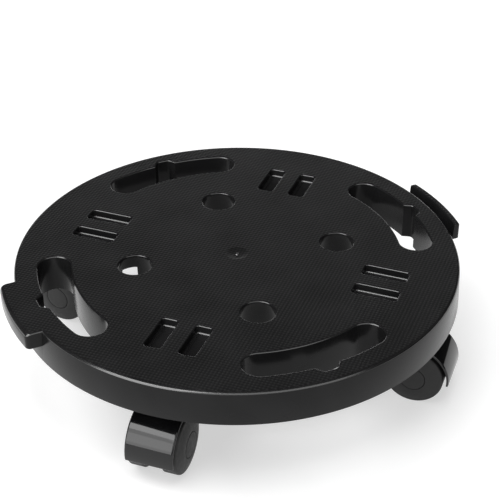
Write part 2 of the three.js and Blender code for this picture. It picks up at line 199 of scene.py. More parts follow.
def lathe(name, profile, segments=64):
    """A body turned about Z from (radius, height) points, anticlockwise in the r-z plane.

    A profile that starts and ends on the axis closes there; any other profile is a closed loop.
    """
    points, rows, faces = [], [], []
    for r, z in profile:
        if r < 1e-9:
            rows.append([len(points)] * segments)
            points.append((0, 0, z))
            continue
        rows.append(list(range(len(points), len(points) + segments)))
        for i in range(segments):
            a = 2 * math.pi * i / segments
            points.append((r * math.cos(a), r * math.sin(a), z))
    if profile[0][0] > 1e-9:
        rows.append(rows[0])
    for low, high in zip(rows, rows[1:]):
        for i in range(segments):
            j = (i + 1) % segments
            corners = dict.fromkeys((low[i], low[j], high[j], high[i]))
            if len(corners) > 2:
                faces.append(tuple(corners))
    return mesh_object(name, points, faces)


def arc(cx, cy, radius, start, end, steps):
    """Points on an arc, angles in degrees."""
    out = []
    for i in range(steps + 1):
        a = math.radians(start + (end - start) * i / steps)
        out.append((cx + radius * math.cos(a), cy + radius * math.sin(a)))
    return out


def chain(*runs):
    """Runs of points put end to end, without repeating a shared point."""
    out = []
    for run in runs:
        for p in run:
            if not out or math.dist(p, out[-1]) > 1e-4:
                out.append(p)
    if math.dist(out[0], out[-1]) < 1e-4:
        out.pop()
    return out


def at_height(outline, z):
    return [(x, y, z) for x, y in outline]


def quarter_turns(make):
    """Four copies of what `make` returns, one for each axis of the deck."""
    out = []
    for k in range(4):
        for ob in make():
            ob.data.transform(Matrix.Rotation(math.pi / 2 * k, 4, "Z"))
            out.append(ob)
    return out


def baked(ob):
    """The object's mesh with its modifiers applied."""
    depsgraph = bpy.context.evaluated_depsgraph_get()
    mesh = bpy.data.meshes.new_from_object(ob.evaluated_get(depsgraph))
    ob.modifiers.clear()
    ob.data = mesh
    return ob


def combine(target, others, operation):
    """Joins the other bodies to `target`, or cuts them from it, and removes them."""
    operands = bpy.data.collections.new("operands")
    scene.collection.children.link(operands)
    for ob in others:
        scene.collection.objects.unlink(ob)
        operands.objects.link(ob)
    modifier = target.modifiers.new("combine", "BOOLEAN")
    modifier.operation = operation
    modifier.operand_type = "COLLECTION"
    modifier.collection = operands
    modifier.solver = "MANIFOLD"
    baked(target)
    for ob in others:
        bpy.data.objects.remove(ob)
    bpy.data.collections.remove(operands)
    return target


def rounded_shading(ob, crease=28):
    """Smooth shading that keeps flat faces flat and edges over `crease` degrees sharp."""
    bm = bmesh.new()
    bm.from_mesh(ob.data)
    bmesh.ops.remove_doubles(bm, verts=bm.verts, dist=1e-7)
    bmesh.ops.dissolve_degenerate(bm, edges=bm.edges, dist=1e-7)
    bm.normal_update()
    for face in bm.faces:
        face.smooth = abs(face.normal.z) < 0.99995
    for edge in bm.edges:
        if len(edge.link_faces) == 2:
            edge.smooth = edge.calc_face_angle() < math.radians(crease)
    bm.to_mesh(ob.data)
    bm.free()
    return ob


# ---- Deck --------------------------------------------------------------------------------------


def deck_shell():
    """The plate with its flared rim, before anything is added or cut."""
    flare = DECK_RADIUS + RIM_FLARE
    inner = DECK_RADIUS - RIM_WALL
    edge, inner_fillet = LOWER_EDGE, 1.5
    return lathe("deck_shape", chain(
        [(0, PLATE_BOTTOM)],
        arc(inner - inner_fillet, PLATE_BOTTOM - inner_fillet, inner_fillet, 90, 0, 5),
        [(flare - RIM_WALL, RIM_BOTTOM + edge)],
        arc(flare - RIM_WALL + edge, RIM_BOTTOM + edge, edge, 180, 270, 3),
        arc(flare - edge, RIM_BOTTOM + edge, edge, 270, 360, 3),
        arc(DECK_RADIUS - RIM_FILLET, DECK_TOP - RIM_FILLET, RIM_FILLET, 0, 90, 9),
        [(0, DECK_TOP)],
    ), 288)


def slot_outline(grow):
    """Outline of the hand slot on the +X axis, grown by `grow` on every side."""
    middle = (SLOT_INNER + SLOT_OUTER) / 2
    end = (SLOT_OUTER - SLOT_INNER) / 2 + grow
    outer = SLOT_OUTER + grow
    half = SLOT_HALF_ANGLE
    cx, cy = middle * math.cos(math.radians(half)), middle * math.sin(math.radians(half))
    mouth = math.degrees(math.asin((NOTCH_HALF_WIDTH + grow * 0.6) / outer))
    corner, spread, side = NOTCH_REACH - NOTCH_CORNER, NOTCH_CORNER_SPREAD, NOTCH_SIDE_ANGLE
    return chain(
        arc(0, 0, outer, -half, -mouth, 16),
        arc(corner, -spread, NOTCH_CORNER + grow, -side, 0, 7),
        arc(corner, spread, NOTCH_CORNER + grow, 0, side, 7),
        arc(0, 0, outer, mouth, half, 16),
        arc(cx, cy, end, half, half + 180, 24),
        arc(0, 0, SLOT_INNER - grow, half, -half, 32),
        arc(cx, -cy, end, 180 - half, 360 - half, 24),
    )


def pocket_outline(grow):
    """Outline of a pocket around the origin, long side along X."""
    x, y = POCKET_LENGTH / 2, POCKET_WIDTH / 2
    c = POCKET_CORNER
    r = c + grow
    return chain(
        arc(x - c, y - c, r, 0, 90, 5),
        arc(c - x, y - c, r, 90, 180, 5),
        arc(c - x, c - y, r, 180, 270, 5),
        arc(x - c, c - y, r, 270, 360, 5),
    )


def open_top(outline, edge):
    """The last rings of a cutter: its outline opens out in a quarter round up to the deck's top."""
    round_in = arc(edge, DECK_TOP - edge, edge, 180, 90, 7)
    rings = [at_height(outline(grow), z) for grow, z in round_in]
    return [*rings, at_height(outline(edge), DECK_TOP + CUT)]


def slot_cutter():
    """A hand slot, rounded at both ends of its walls."""
    edge, bottom = LOWER_EDGE, DECK_TOP - SLOT_DEPTH
    rings = [at_height(slot_outline(edge), bottom - CUT)]
    for grow, z in arc(edge, bottom + edge, edge, 270, 180, 3):
        rings.append(at_height(slot_outline(grow), z))
    return loft("slot_cutter", rings + open_top(slot_outline, SLOT_EDGE))


def slot_wall():
    """The wall round a hand slot, still solid inside."""
    edge = LOWER_EDGE
    rings = []
    for grow, z in arc(SLOT_WALL - edge, DECK_TOP - SLOT_DEPTH + edge, edge, 270, 360, 3):
        rings.append(at_height(slot_outline(grow), z))
    rings.append(at_height(slot_outline(SLOT_WALL), ROOT_TOP))
    return loft("slot_wall", rings)


def rib(x0, y0, x1, y1):
    """A straight rib with a little draft and a rounded lower edge."""
    length = math.hypot(x1 - x0, y1 - y0)
    flat, low = RIB_TIP - RIB_EDGE, RIB_BOTTOM + RIB_EDGE
    section = chain(
        [(RIB_ROOT, ROOT_TOP), (-RIB_ROOT, ROOT_TOP)],
        arc(-flat, low, RIB_EDGE, 180, 270, 3),
        arc(flat, low, RIB_EDGE, 270, 360, 3),
    )
    rings = [[(x, y, z) for y, z in section] for x in (0, length)]
    ob = loft("rib", rings)
    turn = Matrix.Rotation(math.atan2(y1 - y0, x1 - x0), 4, "Z")
    ob.data.transform(Matrix.Translation(Vector((x0, y0, 0)) * MM) @ turn)
    return ob


def spoke(angle, start, end):
    """A rib that runs outward from the deck's axis."""
    c, s = math.cos(math.radians(angle)), math.sin(math.radians(angle))
    return rib(start * c, start * s, end * c, end * s)


def quarter_ribs():
    """The straight ribs round one hand slot: spokes, a belt across them, and braces to the rim."""
    hub, belt, side, brace = HUB_RING, 94, 24, math.radians(28)
    reach = DECK_RADIUS - RIM_WALL + 1
    belt_end = belt * math.tan(math.radians(side))
    bx, by = reach * math.cos(brace), reach * math.sin(brace)
    corner = SOCKET_XY
    return [
        spoke(0, 2, hub + 15),
        spoke(0, belt, SLOT_INNER - SLOT_WALL / 2),
        spoke(0, NOTCH_REACH + SLOT_WALL / 2, reach),
        spoke(side, hub, reach),
        spoke(-side, hub, reach),
        spoke(45, 2, reach),
        rib(belt, -belt_end, belt, belt_end),
        rib(belt, belt_end, corner, corner),
        rib(belt, -belt_end, corner, -corner),
        rib(corner, corner, bx, by),
        rib(corner, -corner, bx, -by),
    ]


def at_drain(ob):
    a = math.radians(DRAIN_ANGLE)
    place = Vector((DRAIN_CENTRE * math.cos(a), DRAIN_CENTRE * math.sin(a), 0)) * MM
    ob.data.transform(Matrix.Translation(place))
    return ob


def drain(wall, extra_low, top_points):
    """A round body that flares downward, `wall` larger than the drain hole."""
    top, bottom = DECK_TOP - DRAIN_LAND, DECK_TOP - DRAIN_DEPTH
    slope = (DRAIN_FLARE - DRAIN_RADIUS) / (top - bottom)
    return at_drain(lathe("drain", chain(
        [(0, bottom - extra_low)],
        [(DRAIN_FLARE + wall + slope * extra_low, bottom - extra_low)],
        [(DRAIN_RADIUS + wall, top)],
        top_points,
    ), 96))


def drain_collar():
    rim = DRAIN_RADIUS + DRAIN_WALL
    return drain(DRAIN_WALL, 0, [(rim, DECK_TOP - DRAIN_LAND), (0, DECK_TOP - DRAIN_LAND)])


def drain_funnel():
    r, edge = DRAIN_RADIUS, DRAIN_EDGE
    rounded = arc(r + edge, DECK_TOP - edge, edge, 180, 90, 6)
    return drain(0, CUT, [*rounded, (r + edge, DECK_TOP + CUT), (0, DECK_TOP + CUT)])


def drain_notch():
    """Wedge that is cut out of a drain collar's side."""
    middle, reach = DRAIN_ANGLE + DRAIN_NOTCH_ANGLE, DRAIN_RING - 2
    swing = arc(0, 0, reach, middle - DRAIN_NOTCH_SPREAD, middle + DRAIN_NOTCH_SPREAD, 10)
    outline = [(0, 0), *swing]
    low, high = DECK_TOP - DRAIN_DEPTH - CUT, DECK_TOP - DRAIN_NOTCH_TOP
    return at_drain(loft("notch", [at_height(outline, low), at_height(outline, high)]))


def ring_rib(radius):
    """A round rib about the deck's axis, with a rounded lower edge."""
    flat, low = RIB_TIP - RIB_EDGE, RIB_BOTTOM + RIB_EDGE
    return lathe("ring_rib", chain(
        arc(radius - flat, low, RIB_EDGE, 180, 270, 3),
        arc(radius + flat, low, RIB_EDGE, 270, 360, 3),
        [(radius + RIB_ROOT, ROOT_TOP), (radius - RIB_ROOT, ROOT_TOP)],
    ), 96)


def place_pocket(ob, side):
    """Moves one of a pair, side -1 or 1, from the origin to the pair on the 45 degree line."""
    shift = Matrix.Translation(Vector((POCKET_CENTRE, side * POCKET_SPREAD, 0)) * MM)
    ob.data.transform(Matrix.Rotation(math.pi / 4, 4, "Z") @ shift)
    return ob


def pocket_box(side):
    """The block under the plate that a pocket is sunk into."""
    low, edge = DECK_TOP - POCKET_DEPTH - POCKET_WALL, 0.6
    rings = []
    for grow, z in arc(POCKET_WALL - edge, low + edge, edge, 270, 360, 3):
        rings.append(at_height(pocket_outline(grow), z))
    rings.append(at_height(pocket_outline(POCKET_WALL), ROOT_TOP))
    return place_pocket(loft("pocket_box", rings), side)


def pocket_hole(side):
    """What is cut out for a pocket, with a fillet round its floor."""
    fillet, low = POCKET_FILLET, DECK_TOP - POCKET_DEPTH
    rings = []
    for grow, z in arc(-fillet, low + fillet, fillet, 270, 360, 5):
        rings.append(at_height(pocket_outline(grow), z))
    return place_pocket(loft("pocket_hole", rings + open_top(pocket_outline, POCKET_EDGE)), side)


def post(radius, z0, z1, x=SOCKET_XY, y=SOCKET_XY, lower_edge=0.0):
    """A round post or hole, by default at the caster socket on the 45 degree line."""
    foot = [(radius - lower_edge, z0), (radius, z0 + lower_edge)]
    ob = lathe("post", chain([(0, z0)], foot, [(radius, z1), (0, z1)]), 40)
    ob.data.transform(Matrix.Translation(Vector((x, y, 0)) * MM))
    return ob


def tab_outline(outer, half, corner, inner):
    """Plan of a tab on the +X side, from the arc inside the rim out to its rounded corners."""
    cy = half - corner
    cx = math.sqrt((outer - corner) ** 2 - cy**2)
    turn = math.degrees(math.atan2(cy, cx))
    root = math.degrees(math.asin(half / inner))
    return chain(
        arc(cx, -cy, corner, -90, -turn, 7),
        arc(0, 0, outer, -turn, turn, 48),
        arc(cx, cy, corner, turn, 90, 7),
        arc(0, 0, inner, root, -root, 30),
    )


def hook_tab():
    """Solid tab with a broad round along its outer top edge and small ones on its ends."""
    bottom, low_edge = DECK_TOP - TAB_DEPTH, 0.8
    deep_root = TAB_ROOT - 2  # the upper part reaches further into the plate
    steps = 12
    rings = []
    for off, z in arc(low_edge, bottom + low_edge, low_edge, 270, 180, 4):
        outline = tab_outline(TAB_RADIUS - off, TAB_HALF_WIDTH - off, HOOK_CORNER, TAB_ROOT)
        rings.append(at_height(outline, z))
    for inner in (TAB_ROOT, deep_root):
        outline = tab_outline(TAB_RADIUS, TAB_HALF_WIDTH, HOOK_CORNER, inner)
        rings.append(at_height(outline, DECK_TOP - HOOK_FILLET))
    for step in range(1, steps + 1):
        a = math.radians(90 * step / steps)
        z = HOOK_FILLET * (math.sin(a) - 1)
        off = HOOK_FILLET * (1 - math.cos(a))
        rise = max(0.0, z + HOOK_END_FILLET)
        end_off = HOOK_END_FILLET - math.sqrt(max(0.0, HOOK_END_FILLET**2 - rise**2))
        outline = tab_outline(TAB_RADIUS - off, TAB_HALF_WIDTH - end_off, HOOK_CORNER, deep_root)
        rings.append(at_height(outline, DECK_TOP + z))
    ob = loft("hook_tab", rings)
    ob.data.transform(Matrix.Rotation(math.pi, 4, "Z"))
    return ob


def hook_cavity():
    """The hollow under the hook tab, open below."""
    half, inner, outer = TAB_HALF_WIDTH - HOOK_LIP, DECK_RADIUS + 0.5, TAB_RADIUS - HOOK_LIP
    outline = tab_outline(outer, half, 1, inner)
    rings = [at_height(outline, z) for z in (DECK_TOP - TAB_DEPTH - CUT, PLATE_BOTTOM)]
    ob = loft("hook_cavity", rings)
    ob.data.transform(Matrix.Rotation(math.pi, 4, "Z"))
    return ob


def channel_tab():
    """Ring section with an upward lip, cut to the tab's plan with rounded ends."""
    inner, bottom = TAB_RADIUS - CHANNEL_LIP, DECK_TOP - TAB_DEPTH
    floor_top = bottom + CHANNEL_FLOOR
    lip_edge, low_edge, end_edge, fillet = 0.9, 0.6, 0.8, 0.8
    ring = lathe("channel_tab", chain(
        [(TAB_ROOT, bottom)],
        arc(TAB_RADIUS - low_edge, bottom + low_edge, low_edge, 270, 360, 4),
        arc(TAB_RADIUS - lip_edge, DECK_TOP - lip_edge, lip_edge, 0, 90, 5),
        arc(inner + lip_edge, DECK_TOP - lip_edge, lip_edge, 90, 180, 5),
        arc(inner - CHANNEL_DRAFT - fillet, floor_top + fillet, fillet, 0, -90, 4),
        [(TAB_ROOT, floor_top)],
    ), 576)
    outer, root = TAB_RADIUS + 0.5, TAB_ROOT - 1
    ends = [
        *arc(low_edge, bottom + low_edge, low_edge, 270, 180, 3),
        *arc(end_edge, DECK_TOP - end_edge, end_edge, 180, 90, 5),
    ]
    rings = []
    for off, z in ends:
        outline = tab_outline(outer - off, TAB_HALF_WIDTH - off, CHANNEL_CORNER, root)
        rings.append(at_height(outline, z))
    return combine(ring, [loft("channel_plan", rings)], "INTERSECT")


def dimple():
    """Shallow dish around a small domed gate mark."""
    radius, gate, steps = DIMPLE_RADIUS, GATE_RADIUS, 12
    dome_foot, dome_height = DECK_TOP - 0.75, 0.65
    dome = [(gate * x, dome_foot + dome_height * z) for x, z in arc(0, 0, 1, 90, 0, 6)]
    radii = [gate + (radius - gate) * i / steps for i in range(steps + 1)]
    dish = [(r, DECK_TOP - DIMPLE_DEPTH * (1 - (r / radius) ** 2)) for r in radii]
    above = DECK_TOP + CUT / 2
    return lathe("dimple", [*dome, *dish, (radius, above), (0, above)], 64)


def make_deck():
    """The deck in one moulding: everything added first, then everything cut."""
    body = deck_shell()
    added = [
        hook_tab(),
        channel_tab(),
        ring_rib(HUB_RING),
        *quarter_turns(lambda: [at_drain(ring_rib(DRAIN_RING))]),
        post(HUB_POST, RIB_BOTTOM, ROOT_TOP, 0, 0, LOWER_EDGE),
        *quarter_turns(lambda: [slot_wall()]),
        *quarter_turns(quarter_ribs),
        *quarter_turns(lambda: [drain_collar()]),
        *quarter_turns(lambda: [pocket_box(-1), pocket_box(1)]),
        *quarter_turns(lambda: [post(SOCKET_BOSS, RIM_BOTTOM, ROOT_TOP, lower_edge=0.5)]),
    ]
    removed = [
        hook_cavity(),
        dimple(),
        post(HUB_HOLE, RIB_BOTTOM - CUT, RIB_BOTTOM + HUB_HOLE_DEPTH, 0, 0),
        *quarter_turns(lambda: [slot_cutter()]),
        *quarter_turns(lambda: [drain_funnel(), drain_notch()]),
        *quarter_turns(lambda: [pocket_hole(-1), pocket_hole(1)]),
        *quarter_turns(lambda: [post(SOCKET_RADIUS, RIM_BOTTOM - CUT, DECK_TOP - SOCKET_ROOF)]),
    ]
    combine(body, added, "UNION")
    combine(body, removed, "DIFFERENCE")
    return rounded_shading(body)


# ---- Caster pieces, in the CAD's caster frame: swivel axis on Z, hood towards +X ------------------


def radial_section(angle, points):
    """(radius, sideways) points placed in the half plane at `angle` degrees round the axle."""
    c, s = math.cos(math.radians(angle)), math.sin(math.radians(angle))
    return [(AXLE_OFFSET + r * c, y, WHEEL_RADIUS + r * s) for r, y in points]


def hood_section(inner, outer, half, edge):
    """Cross-section of the hood's shell, with rounded corners on its outer side."""
    inside = min(edge * 0.4, (outer - inner) / 3)
    return chain(
        arc(inner + inside, half - inside, inside, 90, 180, 3),
        arc(inner + inside, inside - half, inside, 180, 270, 3),
        arc(outer - edge, edge - half, edge, 270, 360, 6),
        arc(outer - edge, half - edge, edge, 0, 90, 6),
    )


def hood_shell():
    """Curved shell over the two wheels, with a rounded lower lip."""
    middle, wall = (HOOD_INNER + HOOD_OUTER) / 2, HOOD_OUTER - HOOD_INNER
    lip = math.degrees(wall / 2 / HOOD_OUTER)
    lip_steps, steps = 5, 72
    lip_taper, least_half, least_edge = 1.6, 0.12, 0.15
    sections = []
    for step in range(lip_steps + 1):
        a = math.radians(90 * step / lip_steps)
        thin = max(least_half, wall / 2 * math.sin(a))
        side = HOOD_HALF_WIDTH - (lip_taper * (1 - math.sin(a)))
        angle = HOOD_START + lip * (1 - math.cos(a))
        edge = HOOD_EDGE * max(least_edge, math.sin(a))
        section = hood_section(middle - thin, middle + thin, side, edge)
        sections.append(radial_section(angle, section))
    full = hood_section(HOOD_INNER, HOOD_OUTER, HOOD_HALF_WIDTH, HOOD_EDGE)
    start = HOOD_START + lip + 1
    for step in range(steps + 1):
        sections.append(radial_section(start + (HOOD_END - start) * step / steps, full))
    return loft("hood_shell", sections)


def web_body():
    """Middle wall of the housing: round below, out to the hood above."""
    start, end = HOOD_START, 150
    outer = (HOOD_INNER + HOOD_OUTER) / 2
    plan = chain(
        [(AXLE_OFFSET + x, WHEEL_RADIUS + z) for x, z in arc(0, 0, outer, start, end, 48)],
        [(AXLE_OFFSET + x, WHEEL_RADIUS + z) for x, z in arc(0, 0, WEB_RADIUS, end, start + 360, 60)],
    )
    rings = [[(x, y, z) for x, z in reversed(plan)] for y in (-WEB_HALF_WIDTH, WEB_HALF_WIDTH)]
    return loft("web", rings)


def along_axle(ob, side=1):
    """Turns a body made about Z onto the axle, with its top outward on `side`."""
    turn = Matrix.Rotation(side * -math.pi / 2, 4, "X")
    ob.data.transform(Matrix.Translation(Vector((AXLE_OFFSET, 0, WHEEL_RADIUS)) * MM) @ turn)
    return ob


def cylinder(radius, z0, z1, segments=64):
    return lathe("cylinder", [(0, z0), (radius, z0), (radius, z1), (0, z1)], segments)


def make_housing():
    """Hood, middle wall and the neck for the stem, in one moulding."""
    foot_low, foot_top, fillet_middle, past_neck = 30, 42, 44.2, 60
    fillet, edge = 1.6, 0.8
    foot = NECK_RADIUS + fillet
    beyond = 20  # past both sides of the caster
    neck = lathe("housing_shape", chain(
        [(0, foot_low), (foot, foot_low), (foot, foot_top)],
        arc(foot, fillet_middle, fillet, 270, 180, 5),
        [(NECK_RADIUS, NECK_TOP - edge)],
        arc(NECK_RADIUS - edge, NECK_TOP - edge, edge, 0, 90, 4),
        [(0, NECK_TOP)],
    ), 64)
    combine(neck, [along_axle(cylinder(HOOD_INNER, -beyond, beyond, 128))], "DIFFERENCE")
    combine(neck, [hood_shell(), web_body()], "UNION")
    stem_bore = cylinder(STEM_RADIUS + GAP, STEM_FOOT - GAP, past_neck, 48)
    axle_bore = along_axle(cylinder(BORE_RADIUS, -beyond, beyond, 48))
    combine(neck, [stem_bore, axle_bore], "DIFFERENCE")
    return rounded_shading(neck, 32)


def make_stem():
    """Turned pin with a collar above the neck and a groove for the grip ring."""
    foot_bevel, collar_bevel, tip_bevel = 0.5, 0.4, 1.5
    pin, collar, groove = STEM_RADIUS, STEM_COLLAR, STEM_GROOVE
    low, high = NECK_TOP + GAP, RIM_BOTTOM - GAP
    body = lathe("stem_shape", [
        (0, STEM_FOOT), (pin - foot_bevel, STEM_FOOT), (pin, STEM_FOOT + foot_bevel),
        (pin, low), (collar - collar_bevel, low), (collar, low + collar_bevel),
        (collar, high - collar_bevel), (collar - collar_bevel, high), (pin, high),
        (pin, GRIP_BOTTOM - GAP), (groove, GRIP_BOTTOM - GAP),
        (groove, GRIP_TOP + GAP), (pin, GRIP_TOP + GAP),
        (pin, STEM_TOP - tip_bevel), (pin - tip_bevel, STEM_TOP), (0, STEM_TOP),
    ], 48)
    return rounded_shading(body, 30)


def make_grip_ring():
    """Split ring of thin spring steel, closed up to a narrow gap."""
    inner, outer, half_gap = 3.15, 3.72, 10
    section = [(inner, GRIP_BOTTOM), (outer, GRIP_BOTTOM), (outer, GRIP_TOP), (inner, GRIP_TOP)]
    steps = 44
    sections = []
    for step in range(steps + 1):
        a = math.radians(half_gap + (360 - 2 * half_gap) * step / steps)
        sections.append([(r * math.cos(a), r * math.sin(a), z) for r, z in section])
    return rounded_shading(loft("grip_shape", list(reversed(sections))), 30)


def make_axle():
    """Plain pin with bevelled ends."""
    half, bevel = AXLE_HALF_LENGTH, 0.4
    body = lathe("axle_shape", [
        (0, -half), (AXLE_RADIUS - bevel, -half), (AXLE_RADIUS, bevel - half),
        (AXLE_RADIUS, half - bevel), (AXLE_RADIUS - bevel, half), (0, half),
    ], 32)
    return rounded_shading(along_axle(body), 30)


def make_wheel(side):
    """Wheel with a domed outer face, a seat for its cap, and a ribbed recess on its inner side."""
    face, edge, bevel = WHEEL_INNER_FACE, 1.7, 0.5
    seat_edge, seat_drop = 0.25, 0.4
    dome_start, dome_end = WHEEL_RADIUS - edge, CAP_RADIUS + CAP_GAP + seat_edge
    dome_rise = WHEEL_CROWN - WHEEL_EDGE - seat_drop + seat_edge
    steps = 8
    dome = []
    for step in range(1, steps + 1):
        t = step / steps
        r = dome_start + (dome_end - dome_start) * t
        dome.append((r, WHEEL_EDGE + dome_rise * math.sin(math.pi / 2 * t)))
    body = lathe("wheel_shape", chain(
        [(BORE_RADIUS, face), (WHEEL_RADIUS - bevel, face), (WHEEL_RADIUS, face + bevel)],
        arc(dome_start, WHEEL_EDGE - edge, edge, 0, 84, 7),
        dome,
        arc(dome_end, WHEEL_CROWN - seat_drop, seat_edge, 90, 180, 3),
        [(CAP_RADIUS + CAP_GAP, CAP_SEAT), (BORE_RADIUS, CAP_SEAT)],
    ), 96)
    hub, rim = 5.4, WHEEL_RADIUS - 2.4
    open_side, deep = face - CUT, face + 6.5
    recess = lathe("recess", [(hub, open_side), (rim, open_side), (rim, deep), (hub, deep)], 96)
    start, end, half = 4, 18.4, 0.8
    plan = [(start, -half), (end, -half), (end, half), (start, half)]
    spokes = []
    for k in range(WHEEL_SPOKES):
        bar = loft("bar", [at_height(plan, face + 0.6), at_height(plan, deep + CUT)])
        bar.data.transform(Matrix.Rotation(2 * math.pi / WHEEL_SPOKES * k, 4, "Z"))
        spokes.append(bar)
    combine(recess, spokes, "DIFFERENCE")
    combine(body, [recess], "DIFFERENCE")
    return rounded_shading(along_axle(body, side), 30)


def make_hub_cap(side):
    """Round cap, slightly domed, a little smaller than its seat so that a fine groove shows."""
    radius, edge = CAP_RADIUS - 0.2, 0.35
    low, top = CAP_SEAT + CAP_GAP, WHEEL_CROWN
    crown = [(0.8, 0.04), (0.5, 0.16), (0.2, 0.235), (0, 0.25)]  # share of the radius, rise
    body = lathe("cap_shape", chain(
        [(0, low), (radius, low)],
        arc(radius - edge, top - 0.4, edge, 0, 80, 4),
        [(radius * share, top + rise) for share, rise in crown],
    ), 64)
    return rounded_shading(along_axle(body, side), 30)


# ---- Materials ------------------------------------------------------------------------------------


class Nodes:
    """Short calls for building one material's node tree."""

    def __init__(self, name):
        self.material = bpy.data.materials.new(name)
        self.material.use_nodes = True
        self.tree = self.material.node_tree
        self.shader = self.tree.nodes["Principled BSDF"]
        self.place = self.add("ShaderNodeTexCoord").outputs["Object"]

    def add(self, kind, **settings):
        node = self.tree.nodes.new(kind)
        for key, value in settings.items():
            setattr(node, key, value)
        return node

    def link(self, source, target):
        self.tree.links.new(source, target)

    def math(self, operation, a, b=None):
        node = self.add("ShaderNodeMath", operation=operation)
        for socket, value in zip(node.inputs, (a, b)):
            if isinstance(value, (int, float)):
                socket.default_value = value
            elif value is not None:
                self.link(value, socket)
        return node.outputs[0]

    def noise(self, size_mm, detail=3.0, roughness=0.5, stretch=(1, 1, 1)):
        """Noise whose features are about `size_mm` across."""
        mapping = self.add("ShaderNodeMapping")
        mapping.inputs["Scale"].default_value = stretch
        self.link(self.place, mapping.inputs["Vector"])
        node = self.add("ShaderNodeTexNoise")
        node.inputs["Scale"].default_value = 1 / (size_mm * MM)
        node.inputs["Detail"].default_value = detail
        node.inputs["Roughness"].default_value = roughness
        self.link(mapping.outputs[0], node.inputs["Vector"])
        return node.outputs["Fac"]

    def spread(self, fac, low, high):
        """A value that varies from low to high with `fac`."""
        node = self.add("ShaderNodeMapRange")
        node.inputs["From Min"].default_value = 0.3
        node.inputs["From Max"].default_value = 0.7
        node.inputs["To Min"].default_value = low
        node.inputs["To Max"].default_value = high
        self.link(fac, node.inputs["Value"])
        return node.outputs["Result"]

    def colours(self, fac, low, high):
        """A colour that varies between two with `fac`."""
        node = self.add("ShaderNodeValToRGB")
        node.color_ramp.elements[0].position = 0.3
        node.color_ramp.elements[1].position = 0.7
        node.color_ramp.elements[0].color = (*low, 1)
        node.color_ramp.elements[1].color = (*high, 1)
        self.link(fac, node.inputs["Fac"])
        return node.outputs["Color"]

    def bump(self, height, depth_mm, strength=1.0, below=None):
        node = self.add("ShaderNodeBump")
        node.inputs["Strength"].default_value = strength
        node.inputs["Distance"].default_value = depth_mm * MM
        self.link(height, node.inputs["Height"])
        if below is not None:
            self.link(below, node.inputs["Normal"])
        return node.outputs["Normal"]


def deck_plastic():
    """Black moulding: matt with a fine diamond grain on the top face, smooth elsewhere.

    Rounded edges and the gate mark mirror more than flat faces do, through a higher IOR.
    """
    n = Nodes("deck_plastic")
    grain_pitch = 2.3
    steep, flat = 0.3, 0.965  # the normal's upward part, where a face counts as leaning or level
    turn = n.add("ShaderNodeMapping")
    turn.inputs["Rotation"].default_value = (0, 0, math.radians(45))
    turn.inputs["Scale"].default_value = (2 * math.pi / (grain_pitch * MM),) * 3
    n.link(n.place, turn.inputs["Vector"])
    axes = n.add("ShaderNodeSeparateXYZ")
    n.link(turn.outputs[0], axes.inputs[0])
    weave = n.math("ADD", n.math("SINE", axes.outputs["X"]), n.math("SINE", axes.outputs["Y"]))

    height = n.add("ShaderNodeSeparateXYZ")
    n.link(n.place, height.inputs[0])
    dish_floor = DECK_TOP - DIMPLE_DEPTH - 0.05
    on_top = n.math("GREATER_THAN", height.outputs["Z"], dish_floor * MM)
    facing = n.add("ShaderNodeSeparateXYZ")
    n.link(n.add("ShaderNodeNewGeometry").outputs["Normal"], facing.inputs[0])
    upward = n.math("GREATER_THAN", facing.outputs["Z"], flat)
    mask = n.math("MULTIPLY", on_top, upward)
    pattern = n.math("MULTIPLY", weave, mask)

    fine = n.noise(0.5, detail=4)
    broad = n.noise(38, detail=2)
    normal = n.bump(fine, 0.002)
    normal = n.bump(pattern, 0.05, below=normal)
    n.link(normal, n.shader.inputs["Normal"])
    shade = n.math("ADD", n.math("MULTIPLY", pattern, 0.15), broad)
    dark, light = (0.0042, 0.0042, 0.0043), (0.0076, 0.0076, 0.0078)
    n.link(n.colours(shade, dark, light), n.shader.inputs["Base Color"])
    smooth = n.spread(n.noise(1.3), 0.17, 0.23)
    n.link(n.math("ADD", smooth, n.math("MULTIPLY", mask, 0.24)), n.shader.inputs["Roughness"])
    above_steep = n.math("GREATER_THAN", facing.outputs["Z"], steep)
    below_flat = n.math("LESS_THAN", facing.outputs["Z"], flat)
    leaning = n.math("MULTIPLY", above_steep, below_flat)
    squares = [n.math("MULTIPLY", height.outputs[axis], height.outputs[axis]) for axis in "XY"]
    near_axis = n.math("LESS_THAN", n.math("ADD", *squares), ((GATE_RADIUS + 0.05) * MM) ** 2)
    gate = n.math("MULTIPLY", on_top, near_axis)
    gloss = n.math("ADD", n.math("MULTIPLY", leaning, 0.48), n.math("MULTIPLY", gate, 1.4))
    n.link(n.math("ADD", gloss, 1.24), n.shader.inputs["IOR"])
    return n.material


def hood_plastic():
    """Polished black moulding with a very slight waviness."""
    n = Nodes("hood_plastic")
    n.link(n.bump(n.noise(9, detail=1), 0.02), n.shader.inputs["Normal"])
    n.link(n.spread(n.noise(2.4), 0.05, 0.09), n.shader.inputs["Roughness"])
    dark, light = (0.0022, 0.0022, 0.0024), (0.0034, 0.0034, 0.0036)
    n.link(n.colours(n.noise(14), dark, light), n.shader.inputs["Base Color"])
    n.shader.inputs["IOR"].default_value = 1.45
    return n.material


def wheel_plastic(name, tone):
    """Matt grey-black faces and tread, with a fine grain, varied a little around `tone`."""
    n = Nodes(name)
    dark, light = (tone * 0.85,) * 3, (tone * 1.15,) * 3
    n.link(n.bump(n.noise(0.6, detail=4), 0.008), n.shader.inputs["Normal"])
    n.link(n.spread(n.noise(2.0), 0.46, 0.58), n.shader.inputs["Roughness"])
    n.link(n.colours(n.noise(6), dark, light), n.shader.inputs["Base Color"])
    n.shader.inputs["Specular IOR Level"].default_value = 0.3
    return n.material


